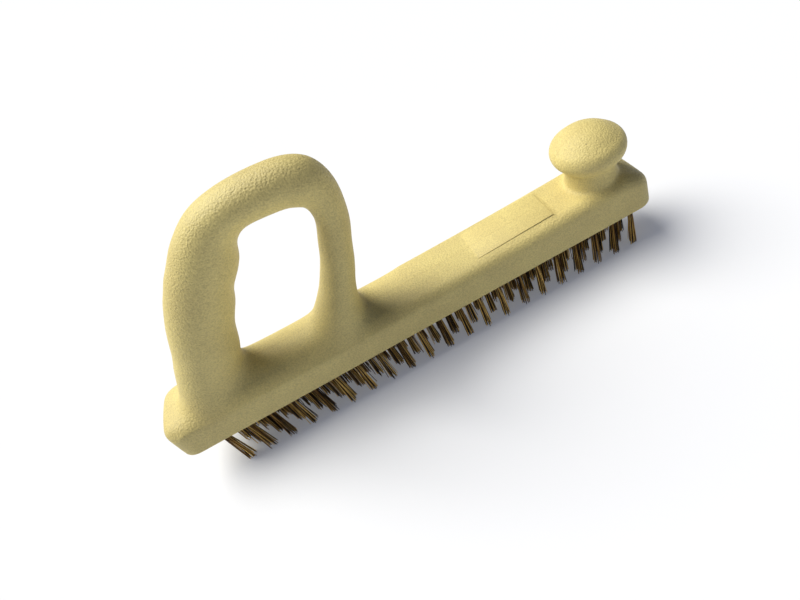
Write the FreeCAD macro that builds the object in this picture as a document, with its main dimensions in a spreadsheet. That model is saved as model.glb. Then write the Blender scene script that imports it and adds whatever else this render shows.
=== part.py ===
import FreeCAD, Part
import math
import os
import Sketcher

# Long scratch brush: one rigid foam moulding (block, D handle, front knob) and 123 wire tufts.
# Each tuft is folded over a flat wire anchor at the bottom of its drilled hole.
# X runs from the D handle to the knob, Y across the block, Z up; the tuft tips stand on Z = 0.

DIMENSIONS = {
    # block
    "block_length": 371,
    "block_width": 52,
    "heel_height": 25,
    "toe_height": 29.5,
    "top_sag_radius": 3700,
    "end_bow_radius": 150,
    "corner_inset": 2.3,
    "side_draft": 3,
    "heel_corner_radius": 13,
    "toe_corner_radius": 14,
    "toe_roll_length": 27,
    "toe_roll_radius": 33,
    "toe_drop": 14,
    "shoulder_radius": 9,
    "top_allowance": 2,
    "top_cut": 20,
    # knob
    "knob_place": 149,
    "neck_radius": 19.5,
    "neck_hollow": 30,
    "waist_radius": 19,
    "knob_radius": 25.5,
    "knob_height": 40,
    "knob_undercut": 13,
    "rim_overhang": 4,
    "rim_arc": 8.8,
    "rim_rise": 3,
    "knob_dome": 8,
    "knob_root": 12,
    # label pad
    "pad_front": 107.5,
    "pad_length": 60,
    "pad_width": 31,
    "pad_step": 1.2,
    "pad_rear_step": 0.3,
    "pad_root": 2,
    # wire field
    "tuft_pitch": 16,
    "row_gap": 8.7,
    "field_shift": 4,
    "trim_length": 32,
    "hole_bore": 4.6,
    "hole_depth": 15,
    "hole_overcut": 1,
    "tuft_root": 4.4,
    "tuft_tip": 7,
    "tuft_head": 14.6,
    "anchor_length": 6,
    "anchor_height": 2.4,
    "anchor_thickness": 0.5,
    "anchor_depth": 11.4,
}
ROWS = 6
TUFTS_IN_LONG_ROW = 21
# Oval sections of the D handle, from inside the block over the loop and back into the block:
# place along X, height, direction of travel in degrees, half depth, half width.
# The grip's inner side swells between the fingers.
HANDLE_STATIONS = (
    (-153.5, 45, 59, 18.5, 23),
    (-148.9, 53, 59, 18.9, 22.6),
    (-141, 66, 59, 19, 20.8),
    (-135.5, 74.3, 59, 19.2, 19.7),
    (-130.1, 82.3, 59, 19.4, 19.6),
    (-125.7, 91.3, 59, 19, 19.2),
    (-122.6, 98.2, 59, 18.4, 18.8),
    (-118.8, 104.7, 59, 18.3, 18.6),
    (-114.5, 110.9, 59, 18.4, 18.6),
    (-110.2, 117, 59, 18.4, 18.5),
    (-106, 123.2, 59, 17.7, 18.2),
    (-101.1, 129, 59, 17.8, 17.9),
    (-95.8, 134.3, 56, 17.6, 17.7),
    (-91.1, 139.4, 49, 17.2, 17.3),
    (-85.6, 144.8, 38, 16.4, 16.6),
    (-78.4, 151.7, 26, 14.4, 15.8),
    (-67.8, 157, 17, 12.3, 15.5),
    (-55.1, 158.4, 6, 12.4, 15.2),
    (-42.9, 158, -6, 12.9, 15),
    (-33, 156.6, -22, 13.7, 14.5),
    (-24.8, 152.4, -45, 14.3, 14.4),
    (-20.2, 143.9, -72, 12.1, 12.6),
    (-19.9, 133, -90, 10.3, 12),
    (-22.4, 121.9, -104, 9.9, 11.8),
    (-27.1, 111, -110, 10, 12.2),
    (-32, 98.8, -113, 10.3, 13.2),
    (-37.5, 87.8, -115, 10.8, 15),
    (-42.6, 77.3, -115, 12, 17.6),
    (-48, 67, -115, 14.8, 20.4),
    (-52.5, 57, -115, 17.8, 22.6),
    (-56.5, 47, -115, 19, 23.2),
)
# The ridge that joins the feet of the D handle along the block, in the same terms.
SADDLE_STATIONS = (
    (-150, 52, 0, 12, 17),
    (-132, 52, 0, 13.5, 19),
    (-112, 50, 0, 12.2, 21.5),
    (-92, 50, 0, 11.7, 21.5),
    (-74, 50, 0, 12.2, 21.5),
    (-58, 52, 0, 13, 18.5),
    (-46, 52, 0, 11, 14),
)
# Edges are picked by place: how far from the side or the top they may lie, and how tall a corner is.
CORNER_MARGIN = 6
TOP_MARGIN = 1
TALL_EDGE = 12


class Size:
    # A number that also carries the spreadsheet expression it comes from.
    def __init__(self, value, text):
        self.value = value
        self.text = text

    def __add__(self, other):
        return combine(self, other, "+", self.value + number(other))

    def __sub__(self, other):
        return combine(self, other, "-", self.value - number(other))

    def __mul__(self, other):
        return combine(self, other, "*", self.value * number(other))

    def __truediv__(self, other):
        return combine(self, other, "/", self.value / number(other))

    def __neg__(self):
        return Size(-self.value, f"(-{self.text})")


def number(item):
    return item.value if isinstance(item, Size) else item


def text_of(item):
    return item.text if isinstance(item, Size) else f"({item})"


def combine(first, second, symbol, value):
    return Size(value, f"({first.text} {symbol} {text_of(second)})")


doc = FreeCAD.newDocument("wire_brush")
sheet = doc.addObject("Spreadsheet::Sheet", "Sizes")
size = {}
for row, (name, value) in enumerate(DIMENSIONS.items(), start=1):
    sheet.set(f"A{row}", name)
    sheet.set(f"B{row}", str(value))
    sheet.setAlias(f"B{row}", name)
    size[name] = Size(value, f"Sizes.{name}")
doc.recompute()
ZERO = Size(0, "0")


def new_body(label):
    body = doc.addObject("PartDesign::Body", label)
    body.Label = label
    body.AllowCompound = True
    return body


def origin_plane(body, role):
    for item in body.Origin.OriginFeatures:
        if item.Role == role:
            return item
    raise ValueError(role)


def bind(item, **expressions):
    for name, value in expressions.items():
        item.setExpression(name, text_of(value))


def place(item, across, aside, up):
    # Sets an object's place and keeps it bound to the sheet.
    item.Placement = FreeCAD.Placement(
        FreeCAD.Vector(number(across), number(aside), number(up)), FreeCAD.Rotation())
    item.setExpression(".Placement.Base.x", text_of(across))
    item.setExpression(".Placement.Base.y", text_of(aside))
    item.setExpression(".Placement.Base.z", text_of(up))


def new_sketch(body, name, role, distance=ZERO):
    sketch = body.newObject("Sketcher::SketchObject", name)
    sketch.AttachmentSupport = [(origin_plane(body, role), "")]
    sketch.MapMode = "FlatFace"
    sketch.setExpression("AttachmentOffset.Base.z", f"{distance.text} * 1 mm")
    return sketch


def fix_coordinate(sketch, kind, geometry, end, coordinate):
    # A distance from the sketch origin to a point, measured towards the point's own side.
    if coordinate.value < 0:
        ends = (geometry, end, -1, 1)
    else:
        ends = (-1, 1, geometry, end)
    index = sketch.addConstraint(Sketcher.Constraint(kind, *ends, abs(coordinate.value)))
    sketch.setExpression(f"Constraints[{index}]", f"abs({coordinate.text}) * 1 mm")


def arc_between(start, finish, radius):
    # The minor arc from start to finish; a positive radius turns left, a negative one right.
    chord = finish - start
    half = chord.Length / 2
    side = FreeCAD.Vector(-chord.y, chord.x, 0).normalize()
    offset = math.sqrt(max(radius * radius - half * half, 0))
    centre = (start + finish) / 2 + side * math.copysign(offset, radius)
    first, last = (start, finish) if radius > 0 else (finish, start)
    circle = Part.Circle(centre, FreeCAD.Vector(0, 0, 1), abs(radius))
    return Part.ArcOfCircle(circle, circle.parameter(first), circle.parameter(last))


def draw_outline(sketch, corners):
    # Each corner is (across, up, radius); the radius is that of the edge leaving the corner, or None.
    points = [FreeCAD.Vector(across.value, up.value, 0) for across, up, radius in corners]
    count = len(corners)
    starts = []
    finishes = []
    for index, (across, up, radius) in enumerate(corners):
        start = points[index]
        finish = points[(index + 1) % count]
        if radius is None:
            sketch.addGeometry(Part.LineSegment(start, finish), False)
        else:
            sketch.addGeometry(arc_between(start, finish, radius.value), False)
        turns_right = radius is not None and radius.value < 0
        starts.append(2 if turns_right else 1)
        finishes.append(1 if turns_right else 2)
    for index in range(count):
        after = (index + 1) % count
        sketch.addConstraint(Sketcher.Constraint("Coincident", index, finishes[index], after, starts[after]))
    for index, (across, up, radius) in enumerate(corners):
        fix_coordinate(sketch, "DistanceX", index, starts[index], across)
        fix_coordinate(sketch, "DistanceY", index, starts[index], up)
        if radius is not None:
            rule = sketch.addConstraint(Sketcher.Constraint("Radius", index, abs(radius.value)))
            sketch.setExpression(f"Constraints[{rule}]", f"abs({radius.text}) * 1 mm")


def edges_where(feature, test):
    names = []
    for index, edge in enumerate(feature.Shape.Edges, start=1):
        if test(edge):
            names.append(f"Edge{index}")
    return names


def round_edges(body, name, radius, test):
    base = body.Tip
    doc.recompute()
    edges = edges_where(base, test)
    if not edges:
        raise ValueError(f"{name} found no edge")
    fillet = body.newObject("PartDesign::Fillet", name)
    fillet.Base = (base, edges)
    bind(fillet, Radius=radius)
    doc.recompute()
    return fillet


SOLE = size["trim_length"]
HEEL_TOP = SOLE + size["heel_height"]
TOE_TOP = SOLE + size["toe_height"]


def deck_at(across):
    # Height of the block's gently sagging top at a place along X.
    length = size["block_length"]
    chord = HEEL_TOP + (TOE_TOP - HEEL_TOP) * (across / length + 0.5)
    sag = (length * length / 4 - across * across) / (size["top_sag_radius"] * 2)
    return chord - sag


def make_block():
    # Drafted block with bowed ends, rounded corners and broad shoulders, and the label pad.
    body = new_body("block_blank")
    half_length = size["block_length"] / 2 - size["corner_inset"]
    half_width = size["block_width"] / 2
    sketch = new_sketch(body, "block_outline", "XY_Plane", SOLE)
    draw_outline(sketch, [
        (-half_length, -half_width, None),
        (half_length, -half_width, size["end_bow_radius"]),
        (half_length, half_width, None),
        (-half_length, half_width, size["end_bow_radius"]),
    ])
    pad = body.newObject("PartDesign::Pad", "block_pad")
    pad.Profile = sketch
    bind(pad, Length=size["toe_height"] + size["top_allowance"], TaperAngle=-size["side_draft"])
    top = new_sketch(body, "top_outline", "XZ_Plane")
    reach = size["block_length"] / 2
    roll = reach - size["toe_roll_length"]
    draw_outline(top, [
        (-reach, HEEL_TOP, size["top_sag_radius"]),
        (roll, deck_at(roll), -size["toe_roll_radius"]),
        (reach, TOE_TOP - size["toe_drop"], None),
        (reach, TOE_TOP + size["top_cut"], None),
        (-reach, TOE_TOP + size["top_cut"], None),
    ])
    slope = body.newObject("PartDesign::Pocket", "sloping_top")
    slope.Profile = top
    slope.Type = 1
    slope.Midplane = True
    doc.recompute()
    side = number(half_width) - CORNER_MARGIN
    for name, sign in (("heel", -1), ("toe", 1)):
        round_edges(body, f"{name}_corners", size[f"{name}_corner_radius"],
                    lambda edge, sign=sign: edge.BoundBox.ZLength > TALL_EDGE
                    and edge.CenterOfMass.x * sign > 0
                    and abs(edge.CenterOfMass.y) > side)
    round_edges(body, "shoulder_round", size["shoulder_radius"],
                lambda edge: edge.BoundBox.ZMin > number(TOE_TOP - size["toe_drop"]) - TOP_MARGIN)
    label = new_sketch(body, "label_outline", "XZ_Plane")
    front = size["pad_front"]
    rear = front - size["pad_length"]
    draw_outline(label, [
        (rear, deck_at(rear) - size["pad_root"], None),
        (front, deck_at(front) - size["pad_root"], None),
        (front, deck_at(front) + size["pad_step"], None),
        (rear, deck_at(rear) + size["pad_rear_step"], None),
    ])
    raised = body.newObject("PartDesign::Pad", "label_pad")
    raised.Profile = label
    raised.Midplane = True
    bind(raised, Length=size["pad_width"])
    return body


def make_knob():
    # Turned profile drawn about the knob's own axis; the neck starts inside the block.
    body = new_body("knob_blank")
    deck = deck_at(size["knob_place"]) - SOLE
    lip = deck + size["knob_undercut"]
    edge = size["knob_radius"] - size["rim_overhang"]
    eave = deck + size["knob_height"] - size["knob_dome"]
    dome = (edge * edge + size["knob_dome"] * size["knob_dome"]) / (size["knob_dome"] * 2)
    sketch = new_sketch(body, "knob_outline", "XZ_Plane")
    draw_outline(sketch, [
        (ZERO, deck - size["knob_root"], None),
        (size["neck_radius"], deck - size["knob_root"], None),
        (size["neck_radius"], deck, -size["neck_hollow"]),
        (size["waist_radius"], lip, None),
        (edge, lip + size["rim_rise"], size["rim_arc"]),
        (edge, eave, dome),
        (ZERO, deck + size["knob_height"], None),
    ])
    knob = body.newObject("PartDesign::Revolution", "knob_turning")
    knob.Profile = sketch
    knob.ReferenceAxis = (sketch, ["V_Axis"])
    knob.Angle = 360
    place(body, size["knob_place"], ZERO, SOLE)
    return body


def make_oval_loft(label, stations, first_row):
    # A smooth body through oval sections that stand square to their direction of travel.
    sections = []
    for index, (across, up, heading, depth, width) in enumerate(stations, start=1):
        name = f"{label}_section_{index}"
        oval = doc.addObject("Part::Ellipse", name)
        row = first_row + index
        for column, kind, value in (("C", "across", across), ("D", "up", up),
                                    ("E", "depth", depth), ("F", "width", width)):
            sheet.set(f"{column}{row}", str(value))
            sheet.setAlias(f"{column}{row}", f"{kind}_{name}")
        turn = math.radians(heading)
        sideways = FreeCAD.Vector(0, 1, 0)
        outward = FreeCAD.Vector(-math.sin(turn), 0, math.cos(turn))
        oval.MajorRadius = width
        oval.MinorRadius = depth
        oval.Placement = FreeCAD.Placement(
            FreeCAD.Vector(across, 0, up),
            FreeCAD.Rotation(sideways, outward, sideways.cross(outward)))
        doc.recompute([sheet])
        oval.setExpression("MajorRadius", f"Sizes.width_{name} * 1 mm")
        oval.setExpression("MinorRadius", f"Sizes.depth_{name} * 1 mm")
        oval.setExpression(".Placement.Base.x", f"Sizes.across_{name}")
        oval.setExpression(".Placement.Base.z", f"Sizes.up_{name}")
        sections.append(oval)
    loft = doc.addObject("Part::Loft", label)
    loft.Sections = sections
    loft.Solid = True
    loft.Ruled = False
    return loft


def make_handle_loop():
    return make_oval_loft("handle_loop", HANDLE_STATIONS, len(DIMENSIONS))


def make_saddle():
    return make_oval_loft("saddle", SADDLE_STATIONS, len(DIMENSIONS) + len(HANDLE_STATIONS))


def spread(body, features, role, length, count):
    # Repeats features of a body along one of its own axes.
    pattern = body.newObject("PartDesign::LinearPattern", f"spread_{features[0].Name}")
    pattern.Originals = features
    pattern.Direction = (origin_plane(body, role), [""])
    pattern.Occurrences = count
    bind(pattern, Length=length)
    body.Tip = pattern
    return pattern


def row_offset(row):
    return size["row_gap"] * (row - (ROWS - 1) / 2)


def row_count(row):
    return TUFTS_IN_LONG_ROW - row % 2


def row_start(row):
    # Every second row is set in by half a pitch and has one tuft fewer.
    return size["field_shift"] - size["tuft_pitch"] * ((row_count(row) - 1) / 2)


def add_anchor_box(body, kind, name):
    box = body.newObject(f"PartDesign::{kind}Box", name)
    bind(box, Length=size["anchor_length"], Width=size["anchor_thickness"], Height=size["anchor_height"])
    place(box, -size["anchor_length"] / 2, -size["anchor_thickness"] / 2, SOLE + size["anchor_depth"])
    return box


def make_drilling(row):
    # The holes of one lengthwise row, each with the slot that its anchor is driven into.
    body = new_body(f"drilling_{row + 1}")
    hole = body.newObject("PartDesign::AdditiveCylinder", f"hole_{row + 1}")
    bind(hole, Radius=size["hole_bore"] / 2, Height=size["hole_depth"] + size["hole_overcut"])
    place(hole, ZERO, ZERO, SOLE - size["hole_overcut"])
    slot = add_anchor_box(body, "Additive", f"anchor_slot_{row + 1}")
    doc.recompute()
    spread(body, [hole, slot], "X_Axis", size["tuft_pitch"] * (row_count(row) - 1), row_count(row))
    place(body, row_start(row), row_offset(row), ZERO)
    return body


def make_anchors(row):
    # Flat wire anchors of one lengthwise row.
    body = new_body(f"anchors_row_{row + 1}")
    anchor = add_anchor_box(body, "Additive", f"anchor_{row + 1}")
    doc.recompute()
    spread(body, [anchor], "X_Axis", size["tuft_pitch"] * (row_count(row) - 1), row_count(row))
    place(body, row_start(row), row_offset(row), ZERO)
    return body


def make_tufts(column):
    # Tufts that stand in one cross line: even columns belong to the long rows, odd ones to the short.
    body = new_body(f"tufts_column_{column + 1:02d}")
    brush_end = body.newObject("PartDesign::AdditiveCone", f"tuft_{column + 1}")
    bind(brush_end, Radius1=size["tuft_tip"] / 2, Radius2=size["tuft_root"] / 2, Height=SOLE)
    root = body.newObject("PartDesign::AdditiveCylinder", f"tuft_root_{column + 1}")
    bind(root, Radius=size["tuft_root"] / 2, Height=size["tuft_head"])
    place(root, ZERO, ZERO, SOLE)
    notch = add_anchor_box(body, "Subtractive", f"anchor_notch_{column + 1}")
    doc.recompute()
    spread(body, [brush_end, root, notch], "Y_Axis", size["row_gap"] * (ROWS - 2), ROWS // 2)
    across = size["field_shift"] + size["tuft_pitch"] * ((column - TUFTS_IN_LONG_ROW + 1) / 2)
    place(body, across, row_offset(column % 2), ZERO)
    return body


def make_moulding():
    blank = doc.addObject("Part::MultiFuse", "moulding_blank")
    blank.Shapes = [make_block(), make_handle_loop(), make_saddle(), make_knob()]
    drillings = doc.addObject("Part::Compound", "drillings")
    drillings.Links = [make_drilling(row) for row in range(ROWS)]
    moulding = doc.addObject("Part::Cut", "handle_block")
    moulding.Base = blank
    moulding.Tool = drillings
    moulding.Label = "handle_block"
    return moulding


nodes = [make_moulding()]
nodes += [make_tufts(column) for column in range(2 * TUFTS_IN_LONG_ROW - 1)]
nodes += [make_anchors(row) for row in range(ROWS)]
doc.recompute()

for item in doc.Objects:
    if "Invalid" in item.State or "Error" in item.State:
        raise RuntimeError(f"{item.Name} failed: {item.State}")
for node in nodes:
    if node.Shape.isNull() or not node.Shape.isValid():
        raise RuntimeError(f"{node.Label} has no valid shape")

os.makedirs("parts", exist_ok=True)
for node in nodes:
    node.Shape.exportStep(f"parts/{node.Label}.step")
    print(node.Label, len(node.Shape.Solids), "solids", round(node.Shape.Volume), "mm3")
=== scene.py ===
import bpy
import math
import random
from mathutils import Matrix, Vector


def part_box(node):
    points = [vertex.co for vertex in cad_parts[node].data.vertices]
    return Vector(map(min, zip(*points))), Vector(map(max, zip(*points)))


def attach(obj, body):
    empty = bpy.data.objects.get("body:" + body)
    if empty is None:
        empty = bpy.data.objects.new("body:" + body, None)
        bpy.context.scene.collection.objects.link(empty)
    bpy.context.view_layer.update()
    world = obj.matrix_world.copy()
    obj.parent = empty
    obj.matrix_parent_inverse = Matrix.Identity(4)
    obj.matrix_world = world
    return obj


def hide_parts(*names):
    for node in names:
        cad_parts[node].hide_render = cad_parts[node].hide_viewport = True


# long scratch brush: foam moulding with a D handle and a knob, wire tufts, flat steel anchors
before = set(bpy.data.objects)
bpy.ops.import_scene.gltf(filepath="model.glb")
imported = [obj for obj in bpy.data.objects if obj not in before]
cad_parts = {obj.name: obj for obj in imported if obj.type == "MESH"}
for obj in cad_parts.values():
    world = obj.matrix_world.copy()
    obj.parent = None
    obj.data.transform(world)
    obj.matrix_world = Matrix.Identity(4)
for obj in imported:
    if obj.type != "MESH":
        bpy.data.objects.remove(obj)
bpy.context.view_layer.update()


def deselectAll():
    for item in list(bpy.context.selected_objects):
        item.select_set(False)


def makeActive(item):
    deselectAll()
    item.select_set(True)
    bpy.context.view_layer.objects.active = item


def startEdit(item):
    makeActive(item)
    bpy.ops.object.mode_set(mode="EDIT")
    bpy.ops.mesh.select_all(action="DESELECT")


def endEdit():
    bpy.ops.object.mode_set(mode="OBJECT")


def selectFaces(item, test):
    bpy.ops.mesh.select_mode(type="FACE")
    bpy.ops.object.mode_set(mode="OBJECT")
    for face in item.data.polygons:
        face.select = test(face)
    bpy.ops.object.mode_set(mode="EDIT")


def applyModifier(item, kind, **settings):
    makeActive(item)
    modifier = item.modifiers.new(kind.title(), kind)
    for key, value in settings.items():
        setattr(modifier, key, value)
    bpy.ops.object.modifier_apply(modifier=modifier.name)


def joinPieces(items):
    deselectAll()
    for item in items:
        item.select_set(True)
    bpy.context.view_layer.objects.active = items[0]
    bpy.ops.object.join()
    return items[0]


def copyPiece(item, name):
    twin = item.copy()
    twin.data = item.data.copy()
    twin.name = name
    twin.data.name = name
    bpy.context.scene.collection.objects.link(twin)
    return twin


def applyPlace(item):
    makeActive(item)
    bpy.ops.object.transform_apply(location=True, rotation=True, scale=True)


def smoothByAngle(item, degrees):
    makeActive(item)
    bpy.ops.object.shade_smooth_by_angle(angle=math.radians(degrees))


def linearColour(hexText):
    values = []
    for start in (0, 2, 4):
        part = int(hexText[start:start + 2], 16) / 255
        values.append(part / 12.92 if part <= 0.04045 else ((part + 0.055) / 1.055) ** 2.4)
    return (*values, 1.0)


def addNode(tree, kind, settings=None, sockets=None, links=None):
    node = tree.nodes.new(kind)
    for key, value in (settings or {}).items():
        setattr(node, key, value)
    for key, value in (sockets or {}).items():
        node.inputs[key].default_value = value
    for key, source in (links or {}).items():
        tree.links.new(source, node.inputs[key])
    return node


def newMaterial(name):
    material = bpy.data.materials.new(name)
    material.use_nodes = True
    material.node_tree.nodes.clear()
    return material, material.node_tree


def finishMaterial(tree, shader):
    output = tree.nodes.new("ShaderNodeOutputMaterial")
    tree.links.new(shader.outputs["BSDF"], output.inputs["Surface"])


def paintPiece(item, material):
    item.data.materials.clear()
    item.data.materials.append(material)


# sizes are in metres and angles in degrees
foam = {
    "cut": 0.033,               # height just above the sole where the drilled mesh is cut off
    "skirtEnd": 0.018,          # block carried on below the sole and trimmed off later
    "plugHalf": (0.172, 0.0242),
    "plugTop": 0.0485,
    "plugInset": 0.001,
    "voxel": 0.00135,
    "smoothing": 8,
    "blendSmoothing": 260,      # the handle's feet flow into the block
    "blendReach": 0.032,
    "blendGain": 1.6,
    "blendHalf": 0.0245,
    "sideFade": 0.004,
    "plugFade": 0.003,
    "feet": ((-0.150, 0.052), (-0.122, 0.060), (-0.094, 0.054), (-0.070, 0.058), (-0.034, 0.056)),
    "sole": 0.032,
    "smoothAngle": 35,
    "shadedColour": "cbb977",
    "fairColour": "dccb82",
    "markColour": "a09470",
    "speckColour": "5d4f33",
    "seamColour": "b79c5c",
}
holes = {
    "rowGap": 0.0087,
    "radius": 0.0023,
    "depth": 0.0149,
    "overcut": 0.002,
    "sides": 14,
}
label = {
    "rear": 0.0475,
    "front": 0.1075,
    "half": 0.0158,
    "bottom": 0.048,
    "rearTop": 0.0559,
    "frontTop": 0.0590,
    "bevel": 0.0003,
    "sideMargin": 0.0005,
    "frontMargin": 0.001,
    "topMargin": 0.002,
}


def makeMoulding():
    print("foam moulding")
    body = copyPiece(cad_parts["handle_block"], "foam_moulding")
    body.parent = None
    body.matrix_world = Matrix.Identity(4)
    startEdit(body)
    bpy.ops.mesh.select_all(action="SELECT")
    bpy.ops.mesh.remove_doubles(threshold=0.00001)
    # the underside is cut off and drawn again as a plain skirt, so that the sole can be trimmed sharp
    bpy.ops.mesh.bisect(plane_co=(0, 0, foam["cut"]), plane_no=(0, 0, 1), use_fill=True, clear_inner=True)
    bpy.ops.mesh.extrude_region_move(
        TRANSFORM_OT_translate={"value": (0, 0, foam["skirtEnd"] - foam["cut"])})
    bpy.ops.mesh.select_all(action="SELECT")
    bpy.ops.mesh.normals_make_consistent(inside=False)
    endEdit()
    deselectAll()
    bpy.ops.mesh.primitive_cube_add(size=2)
    plug = bpy.context.object
    plug.scale = (*foam["plugHalf"], (foam["plugTop"] - foam["skirtEnd"]) / 2 - foam["plugInset"])
    plug.location = (0, 0, (foam["plugTop"] + foam["skirtEnd"]) / 2)
    applyPlace(plug)
    joinPieces([body, plug])
    applyModifier(body, "REMESH", mode="VOXEL", voxel_size=foam["voxel"])
    applyModifier(body, "SMOOTH", factor=0.5, iterations=foam["smoothing"])
    softenFeet(body)
    return body


def softenFeet(body):
    group = body.vertex_groups.new(name="feet")
    for vertex in body.data.vertices:
        place = vertex.co
        nearest = min(math.hypot(place.x - across, place.z - up) for across, up in foam["feet"])
        weight = min(1, foam["blendGain"] * (1 - nearest / foam["blendReach"]))
        # the outer sides and the drilled part keep their shape
        sideWeight = (foam["blendHalf"] - abs(place.y)) / foam["sideFade"]
        plugWeight = (place.z - foam["plugTop"]) / foam["plugFade"]
        weight = min(weight, sideWeight, plugWeight)
        if weight > 0:
            group.add([vertex.index], weight, "REPLACE")
    applyModifier(body, "SMOOTH", factor=0.5, iterations=foam["blendSmoothing"], vertex_group="feet")
    body.vertex_groups.clear()


def makeLabelPad():
    print("label pad")
    deselectAll()
    bpy.ops.mesh.primitive_cube_add(size=1)
    pad = bpy.context.object
    pad.name = "label_pad"
    length = label["front"] - label["rear"]
    middle = (label["front"] + label["rear"]) / 2
    height = label["rearTop"] - label["bottom"]
    pad.scale = (length, label["half"] * 2, height)
    pad.location = (middle, 0, label["bottom"] + height / 2)
    applyPlace(pad)
    startEdit(pad)
    selectFaces(pad, lambda face: face.normal.z > 0.9)
    # the top is tilted about its rear edge
    rise = label["frontTop"] - label["rearTop"]
    bpy.ops.transform.translate(value=(0, 0, rise / 2))
    bpy.ops.transform.rotate(value=-math.atan2(rise, length), orient_axis="Y",
                             constraint_axis=(False, True, False),
                             center_override=(middle, 0, label["rearTop"] + rise / 2))
    endEdit()
    applyModifier(pad, "BEVEL", width=label["bevel"], segments=2)
    return pad


def trimSole(body):
    startEdit(body)
    bpy.ops.mesh.select_all(action="SELECT")
    bpy.ops.mesh.bisect(plane_co=(0, 0, foam["sole"]), plane_no=(0, 0, 1), use_fill=True, clear_inner=True)
    endEdit()


def tuftPlaces():
    # middle of every tuft, column by column, taken from the three solids of each column
    places = {}
    for name in sorted(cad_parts):
        if not name.startswith("tufts_column"):
            continue
        low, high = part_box(name)
        across = (low.x + high.x) / 2
        middle = (low.y + high.y) / 2
        # a column takes every second row
        places[name] = [Vector((across, middle + 2 * holes["rowGap"] * step, 0)) for step in (-1, 0, 1)]
    return places


def drillHoles(body, places):
    print("holes")
    drills = []
    deselectAll()
    bpy.ops.mesh.primitive_cylinder_add(vertices=holes["sides"], radius=holes["radius"],
                                        depth=holes["depth"] + holes["overcut"])
    pattern = bpy.context.object
    applyPlace(pattern)
    height = foam["sole"] + (holes["depth"] - holes["overcut"]) / 2
    for spots in places.values():
        for spot in spots:
            drill = copyPiece(pattern, "drill")
            drill.location = (spot.x, spot.y, height)
            drills.append(drill)
    bpy.data.objects.remove(pattern)
    drillSet = joinPieces(drills)
    applyPlace(drillSet)
    applyModifier(body, "BOOLEAN", operation="DIFFERENCE", object=drillSet, solver="EXACT")
    bpy.data.objects.remove(drillSet)


def markPlainSkin(body):
    # the pad's own top is polished in the mould, the rest is grained
    plain = body.data.attributes.new("plain", "FLOAT", "POINT")
    for vertex, item in zip(body.data.vertices, plain.data):
        along = label["rear"] < vertex.co.x < label["front"] + label["frontMargin"]
        inside = abs(vertex.co.y) < label["half"] + label["sideMargin"]
        top = vertex.co.z > label["rearTop"] - label["topMargin"]
        item.value = 1.0 if along and inside and top else 0.0


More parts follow.
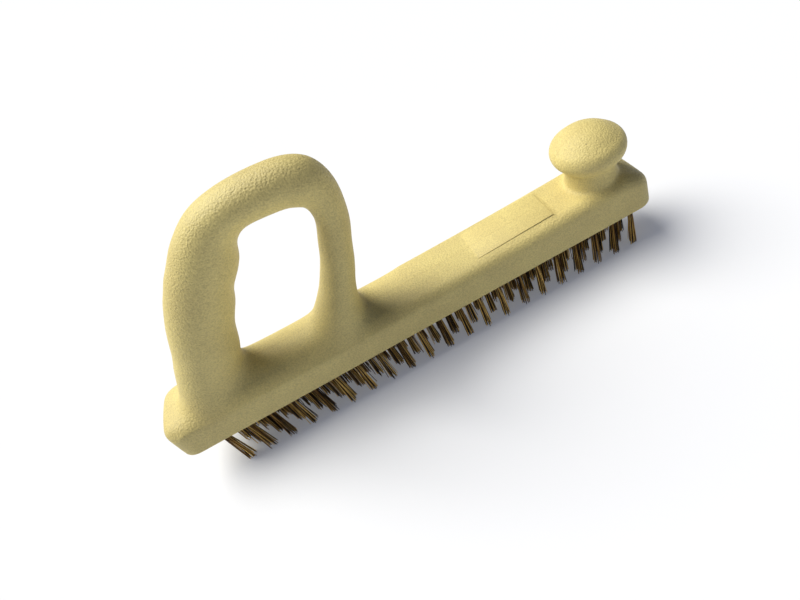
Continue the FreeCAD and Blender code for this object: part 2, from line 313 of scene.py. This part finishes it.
def foamMaterial():
    # structural polyurethane foam moulding, unpainted: a matt skin with the mould's leather grain
    # scales are cells per metre; the grain is drawn at about 1.2 mm, coarser than real, so that it shows
    material, tree = newMaterial("polyurethane_structural_foam")
    place = addNode(tree, "ShaderNodeTexCoord").outputs["Object"]
    # broad cloudy tone, pebbled grain and finer pores
    cloud = addNode(tree, "ShaderNodeTexNoise", sockets={"Scale": 22, "Detail": 4, "Roughness": 0.6},
                    links={"Vector": place})
    grain = addNode(tree, "ShaderNodeTexNoise", sockets={"Scale": 1050, "Detail": 2, "Roughness": 0.5},
                    links={"Vector": place})
    pebbles = addNode(tree, "ShaderNodeTexVoronoi", settings={"feature": "SMOOTH_F1"},
                      sockets={"Scale": 820, "Smoothness": 0.8}, links={"Vector": place})
    tone = addNode(tree, "ShaderNodeValToRGB", links={"Fac": cloud.outputs["Fac"]})
    tone.color_ramp.elements[0].position = 0.3
    tone.color_ramp.elements[0].color = linearColour(foam["shadedColour"])
    tone.color_ramp.elements[1].position = 0.72
    tone.color_ramp.elements[1].color = linearColour(foam["fairColour"])
    # painted shade darkens the hollows of the grain, and painted light makes its tops a touch lighter
    grainShade = addNode(tree, "ShaderNodeMapRange",
                     sockets={"From Min": 0.32, "From Max": 0.62, "To Min": 0.8, "To Max": 1.04},
                     links={"Value": grain.outputs["Fac"]})
    grainShaded = addNode(tree, "ShaderNodeVectorMath", settings={"operation": "SCALE"},
                    links={"Vector": tone.outputs["Color"], "Scale": grainShade.outputs["Result"]})
    # greyish handling marks
    marks = addNode(tree, "ShaderNodeTexNoise", sockets={"Scale": 55, "Detail": 6, "Roughness": 0.7},
                    links={"Vector": place})
    markMask = addNode(tree, "ShaderNodeMapRange",
                       sockets={"From Min": 0.66, "From Max": 0.8, "To Max": 0.35},
                       links={"Value": marks.outputs["Fac"]})
    marked = addNode(tree, "ShaderNodeMix", settings={"data_type": "RGBA"},
                     sockets={"B": linearColour(foam["markColour"])},
                     links={"Factor": markMask.outputs["Result"], "A": grainShaded.outputs["Vector"]})
    # dark specks trapped in the skin
    specks = addNode(tree, "ShaderNodeTexVoronoi", sockets={"Scale": 70, "Randomness": 1.0},
                     links={"Vector": place})
    speckMask = addNode(tree, "ShaderNodeMapRange",
                        sockets={"From Min": 0.045, "From Max": 0.03, "To Max": 0.6},
                        links={"Value": specks.outputs["Distance"]})
    speckPick = addNode(tree, "ShaderNodeSeparateColor", links={"Color": specks.outputs["Color"]})
    speckFew = addNode(tree, "ShaderNodeMath", settings={"operation": "GREATER_THAN"},
                       sockets={1: 0.88}, links={0: speckPick.outputs["Red"]})
    speckAmount = addNode(tree, "ShaderNodeMath", settings={"operation": "MULTIPLY"},
                          links={0: speckMask.outputs["Result"], 1: speckFew.outputs["Value"]})
    speckled = addNode(tree, "ShaderNodeMix", settings={"data_type": "RGBA"},
                       sockets={"B": linearColour(foam["speckColour"])},
                       links={"Factor": speckAmount.outputs["Value"], "A": marked.outputs["Result"]})
    # parting line of the two mould halves, a fine flash along the middle plane
    axes = addNode(tree, "ShaderNodeSeparateXYZ", links={"Vector": place})
    off = addNode(tree, "ShaderNodeMath", settings={"operation": "ABSOLUTE"}, links={0: axes.outputs["Y"]})
    flash = addNode(tree, "ShaderNodeMapRange", settings={"interpolation_type": "SMOOTHSTEP"},
                    sockets={"From Min": 0.0007, "From Max": 0.0, "To Max": 1.0},
                    links={"Value": off.outputs["Value"]})
    seamShade = addNode(tree, "ShaderNodeMath", settings={"operation": "MULTIPLY"}, sockets={1: 0.16},
                        links={0: flash.outputs["Result"]})
    seamed = addNode(tree, "ShaderNodeMix", settings={"data_type": "RGBA"},
                     sockets={"B": linearColour(foam["seamColour"])},
                     links={"Factor": seamShade.outputs["Value"], "A": speckled.outputs["Result"]})
    relief = addNode(tree, "ShaderNodeMath", settings={"operation": "MULTIPLY_ADD"},
                     sockets={1: 0.9}, links={0: pebbles.outputs["Distance"], 2: grain.outputs["Fac"]})
    # the label pad is smoother than the rest
    plain = addNode(tree, "ShaderNodeAttribute", settings={"attribute_name": "plain"})
    grainStrength = addNode(tree, "ShaderNodeMapRange", sockets={"To Min": 0.7, "To Max": 0.25},
                            links={"Value": plain.outputs["Fac"]})
    bump = addNode(tree, "ShaderNodeBump", sockets={"Distance": 0.00045},
                   links={"Height": relief.outputs["Value"], "Strength": grainStrength.outputs["Result"]})
    seamBump = addNode(tree, "ShaderNodeBump", sockets={"Strength": 0.35, "Distance": 0.0004},
                       links={"Height": flash.outputs["Result"], "Normal": bump.outputs["Normal"]})
    rough = addNode(tree, "ShaderNodeMapRange", sockets={"To Min": 0.5, "To Max": 0.68},
                    links={"Value": grain.outputs["Fac"]})
    shader = addNode(tree, "ShaderNodeBsdfPrincipled", sockets={"IOR": 1.5, "Specular IOR Level": 0.45},
                     links={"Base Color": seamed.outputs["Result"], "Roughness": rough.outputs["Result"],
                            "Normal": seamBump.outputs["Normal"]})
    finishMaterial(tree, shader)
    return material


places = tuftPlaces()
body = makeMoulding()
pad = makeLabelPad()
applyModifier(body, "BOOLEAN", operation="UNION", object=pad, solver="EXACT")
bpy.data.objects.remove(pad)
trimSole(body)
drillHoles(body, places)
markPlainSkin(body)
smoothByAngle(body, foam["smoothAngle"])
paintPiece(body, foamMaterial())
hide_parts("handle_block")
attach(body, "root")
print("moulding faces", len(body.data.polygons))


wire = {
    "radius": 0.00027,
    "sides": 5,
    "perTuft": 34,
    "variants": 6,
    "rootRadius": 0.00195,
    "tipRadius": 0.0034,
    "tipLimit": 0.0039,
    "anchorGap": 0.0005,
    "levels": (0.0462, 0.0318, 0.0235, 0.015, 0.007),
    "tipHigh": 0.0030,
    "tipPull": (0.75, 1.0),     # how far a wire follows the tuft's spread
    "flare": 0.8,
    "scatter": 0.0005,
    "strayShare": 0.12,
    "strayScatter": 0.0014,
    "smoothAngle": 80,
    "tarnishColour": "24180e",
    "wornColour": "8c6832",
    "brightColour": "f4cf7c",
    # darkening towards the root: partly dust, partly painted shade
    "rootDustAndShadeColour": "35241a",
    "seed": 7,
}


def wirePath(shuffle, first):
    # a wire leaves the hole upright, spreads with the others and bends a little on its own
    while True:
        turn = shuffle.uniform(0, 2 * math.pi)
        reach = wire["rootRadius"] * math.sqrt(shuffle.random())
        root = Vector((reach * math.cos(turn), reach * math.sin(turn)))
        if abs(root.y) > wire["anchorGap"]:
            break
    spread = wire["tipRadius"] / wire["rootRadius"]
    stray = shuffle.random() < wire["strayShare"]
    scatter = wire["strayScatter"] if stray else wire["scatter"]
    tip = root * spread * shuffle.uniform(*wire["tipPull"])
    tip += Vector((shuffle.gauss(0, scatter), shuffle.gauss(0, scatter)))
    if tip.length > wire["tipLimit"]:
        tip *= wire["tipLimit"] / tip.length
    tipHeight = 0.0 if first else shuffle.random() ** 2 * wire["tipHigh"]
    levels = [*wire["levels"], tipHeight]
    path = []
    for level in levels:
        share = max(0, (wire["levels"][1] - level) / wire["levels"][1])
        spot = root.lerp(tip, share ** wire["flare"])
        path.append(Vector((spot.x, spot.y, level)))
    return path


def makeWire(path, tone):
    deselectAll()
    bpy.ops.mesh.primitive_circle_add(vertices=wire["sides"], radius=wire["radius"], fill_type="NGON",
                                      location=path[0])
    strand = bpy.context.object
    applyPlace(strand)
    startEdit(strand)
    bpy.ops.mesh.select_all(action="SELECT")
    for start, finish in zip(path, path[1:]):
        bpy.ops.mesh.extrude_region_move(TRANSFORM_OT_translate={"value": finish - start})
    bpy.ops.mesh.select_all(action="SELECT")
    bpy.ops.mesh.normals_make_consistent(inside=False)
    endEdit()
    shade = strand.data.attributes.new("tone", "FLOAT", "POINT")
    for item in shade.data:
        item.value = tone
    return strand


def makeTuftVariants():
    print("wire tufts")
    shuffle = random.Random(wire["seed"])
    variants = []
    for index in range(wire["variants"]):
        strands = []
        for number in range(wire["perTuft"]):
            path = wirePath(shuffle, number == 0)
            strands.append(makeWire(path, shuffle.random()))
        tuft = joinPieces(strands)
        tuft.name = f"tuft_{index}"
        smoothByAngle(tuft, wire["smoothAngle"])
        variants.append(tuft)
    return variants


def wireMaterial():
    # brass-coated hard-drawn steel wire: glints gold where it is rubbed, dull towards the root with dust and
    # painted shade
    material, tree = newMaterial("brass_coated_steel_wire")
    place = addNode(tree, "ShaderNodeTexCoord").outputs["Object"]
    tone = addNode(tree, "ShaderNodeAttribute", settings={"attribute_name": "tone"})
    stretched = addNode(tree, "ShaderNodeMapping", sockets={"Scale": (1, 1, 0.12)}, links={"Vector": place})
    streak = addNode(tree, "ShaderNodeTexNoise", sockets={"Scale": 900, "Detail": 3},
                     links={"Vector": stretched.outputs["Vector"]})
    mixed = addNode(tree, "ShaderNodeMath", settings={"operation": "MULTIPLY_ADD"},
                    sockets={1: 0.5, 2: -0.25},
                    links={0: streak.outputs["Fac"]})
    total = addNode(tree, "ShaderNodeMath", settings={"operation": "ADD"},
                    links={0: tone.outputs["Fac"], 1: mixed.outputs["Value"]})
    ramp = addNode(tree, "ShaderNodeValToRGB", links={"Fac": total.outputs["Value"]})
    ramp.color_ramp.elements[0].position = 0.2
    ramp.color_ramp.elements[0].color = linearColour(wire["tarnishColour"])
    ramp.color_ramp.elements[1].position = 0.9
    ramp.color_ramp.elements[1].color = linearColour(wire["brightColour"])
    middle = ramp.color_ramp.elements.new(0.55)
    middle.color = linearColour(wire["wornColour"])
    # towards the root, up under the block, the wire is darkened: partly dust, partly painted shade
    height = addNode(tree, "ShaderNodeSeparateXYZ", links={"Vector": place})
    rootDustAndShade = addNode(tree, "ShaderNodeMapRange", sockets={"From Min": 0.016, "From Max": 0.033, "To Max": 0.7},
                    links={"Value": height.outputs["Z"]})
    dustedAndShaded = addNode(tree, "ShaderNodeMix", settings={"data_type": "RGBA"},
                    sockets={"B": linearColour(wire["rootDustAndShadeColour"])},
                    links={"Factor": rootDustAndShade.outputs["Result"], "A": ramp.outputs["Color"]})
    rough = addNode(tree, "ShaderNodeMapRange", sockets={"To Min": 0.25, "To Max": 0.42},
                    links={"Value": streak.outputs["Fac"]})
    shader = addNode(tree, "ShaderNodeBsdfPrincipled", sockets={"Metallic": 1.0},
                     links={"Base Color": dustedAndShaded.outputs["Result"], "Roughness": rough.outputs["Result"]})
    finishMaterial(tree, shader)
    return material


variants = makeTuftVariants()
brass = wireMaterial()
shuffle = random.Random(wire["seed"] + 1)
for name, spots in places.items():
    tufts = []
    for spot in spots:
        tuft = copyPiece(shuffle.choice(variants), name)
        # the folded wires keep clear of the anchor, so a tuft is only ever turned end for end
        tuft.rotation_euler = (0, 0, math.pi * shuffle.randint(0, 1))
        tuft.location = spot
        tufts.append(tuft)
    column = joinPieces(tufts)
    applyPlace(column)
    column.name = name.replace("tufts", "wires")
    column.data.name = column.name
    paintPiece(column, brass)
    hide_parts(name)
    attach(column, "root")
for variant in variants:
    bpy.data.objects.remove(variant)


anchor = {
    "lineColour": "8f9192",
    "flatColour": "c4c6c7",
}


def anchorMaterial():
    # cold-rolled flat steel wire, zinc coated: a bright grey with faint drawing lines along it
    material, tree = newMaterial("galvanised_flat_steel_wire")
    place = addNode(tree, "ShaderNodeTexCoord").outputs["Object"]
    stretched = addNode(tree, "ShaderNodeMapping", sockets={"Scale": (0.1, 1, 1)}, links={"Vector": place})
    lines = addNode(tree, "ShaderNodeTexNoise", sockets={"Scale": 4000, "Detail": 2},
                    links={"Vector": stretched.outputs["Vector"]})
    ramp = addNode(tree, "ShaderNodeValToRGB", links={"Fac": lines.outputs["Fac"]})
    ramp.color_ramp.elements[0].color = linearColour(anchor["lineColour"])
    ramp.color_ramp.elements[1].color = linearColour(anchor["flatColour"])
    bump = addNode(tree, "ShaderNodeBump", sockets={"Strength": 0.3, "Distance": 0.00003},
                   links={"Height": lines.outputs["Fac"]})
    shader = addNode(tree, "ShaderNodeBsdfPrincipled", sockets={"Metallic": 1.0, "Roughness": 0.38},
                     links={"Base Color": ramp.outputs["Color"], "Normal": bump.outputs["Normal"]})
    finishMaterial(tree, shader)
    return material


print("anchors")
steel = anchorMaterial()
for name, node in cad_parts.items():
    if name.startswith("anchors_row"):
        for slot in node.material_slots:
            slot.material = steel


view = {
    "place": (0.0012, -0.2701, 0.2837),
    "turn": (40.93, 15.12, -25.99),     # about X, Y and Z
    "lens": 22.75,
    "shift": (-0.1127, 0.0070),
}
light = {
    "from": (-0.5, 0.4, 0.88),
    "spread": 48,               # a big soft source
    "power": 5.0,
    "colour": "fffcf2",
    "sky": "b2c2ec",
    "skyPower": 0.22,
    "floor": "cecfd3",
    "floorSize": 40,
    "floorGlow": 0.16,          # the floor is a dimly lit opal table
    "glowColour": "f4f7ff",
}


def makeLight():
    lamp = bpy.data.lights.new("softbox", "SUN")
    lamp.angle = math.radians(light["spread"])
    lamp.energy = light["power"]
    lamp.color = linearColour(light["colour"])[:3]
    lampObject = bpy.data.objects.new("softbox", lamp)
    lampObject.location = light["from"]
    lampObject.rotation_euler = (-Vector(light["from"])).to_track_quat("-Z", "Y").to_euler()
    bpy.context.scene.collection.objects.link(lampObject)


def makeCamera():
    cameraData = bpy.data.cameras.new("camera")
    cameraData.lens = view["lens"]
    cameraData.shift_x, cameraData.shift_y = view["shift"]
    camera = bpy.data.objects.new("camera", cameraData)
    camera.location = view["place"]
    camera.rotation_euler = [math.radians(angle) for angle in view["turn"]]
    bpy.context.scene.collection.objects.link(camera)
    bpy.context.scene.camera = camera


def makeFloor():
    deselectAll()
    bpy.ops.mesh.primitive_plane_add(size=light["floorSize"], location=(0, 0, 0))
    floor = bpy.context.object
    floor.name = "floor"
    material, tree = newMaterial("matt_white_sweep")
    shader = addNode(tree, "ShaderNodeBsdfPrincipled",
                     sockets={"Base Color": linearColour(light["floor"]), "Roughness": 0.95,
                              "Specular IOR Level": 0.1, "Emission Color": linearColour(light["glowColour"]),
                              "Emission Strength": light["floorGlow"]})
    finishMaterial(tree, shader)
    paintPiece(floor, material)


def makeSky():
    world = bpy.data.worlds.new("studio")
    world.use_nodes = True
    background = world.node_tree.nodes["Background"]
    background.inputs["Color"].default_value = linearColour(light["sky"])
    background.inputs["Strength"].default_value = light["skyPower"]
    bpy.context.scene.world = world
    bpy.context.scene.view_settings.view_transform = "Standard"


print("stage")
makeCamera()
makeFloor()
makeLight()
makeSky()
